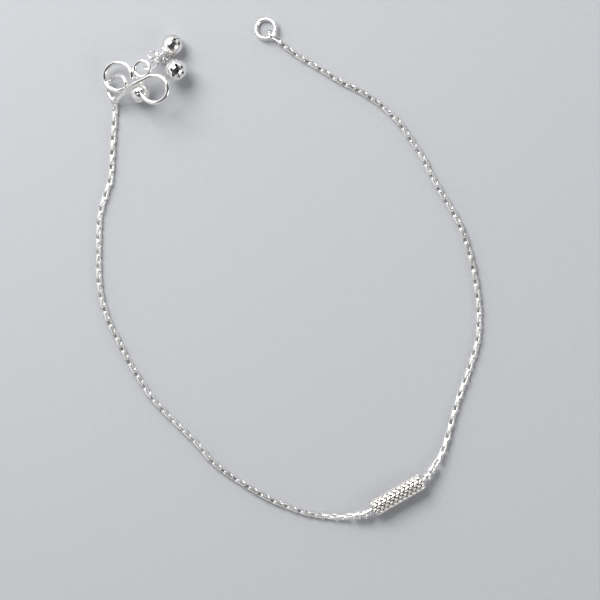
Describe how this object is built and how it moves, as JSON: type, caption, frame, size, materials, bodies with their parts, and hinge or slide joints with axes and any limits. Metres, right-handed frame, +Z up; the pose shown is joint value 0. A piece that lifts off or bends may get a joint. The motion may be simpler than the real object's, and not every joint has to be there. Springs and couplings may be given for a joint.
{
  "type": "payal anklet",
  "caption": "Silver payal anklet lying open: box chain with a woven barrel bead, an end ring, and an S-hook carrying small round bells.",
  "frame": {"origin": "middle of the anklet's outline in plan, on the surface it lies on", "axes": "+Z up from the surface; +Y along the open anklet, from the run with the barrel bead towards the end ring and the hook; +X towards the end ring's side"},
  "size_m": [0.0849, 0.1105, 0.0084],
  "materials": {
    "silver_chain": "polished silver",
    "silver_bead": "polished silver over an oxidised woven relief",
    "silver_wire": "bright polished silver wire",
    "silver_bells": "bright polished silver sheet"
  },
  "bodies": {
    "root": {"chain_hook_side": "silver_chain", "chain_ring_side": "silver_chain", "barrel_bead": "silver_bead", "bead_pin": "silver_wire", "spacer_left": "silver_bead", "spacer_right": "silver_bead", "end_ring": "silver_wire", "ring_link": "silver_wire", "s_hook": "silver_wire", "hook_link": "silver_wire", "eye_link": "silver_wire", "bell_link": "silver_wire", "gather_ring": "silver_wire", "middle_link": "silver_wire", "shackle": "silver_wire", "bell_1": "silver_bells", "bell_2": "silver_bells", "bell_3": "silver_bells"}
  },
  "joints": []
}
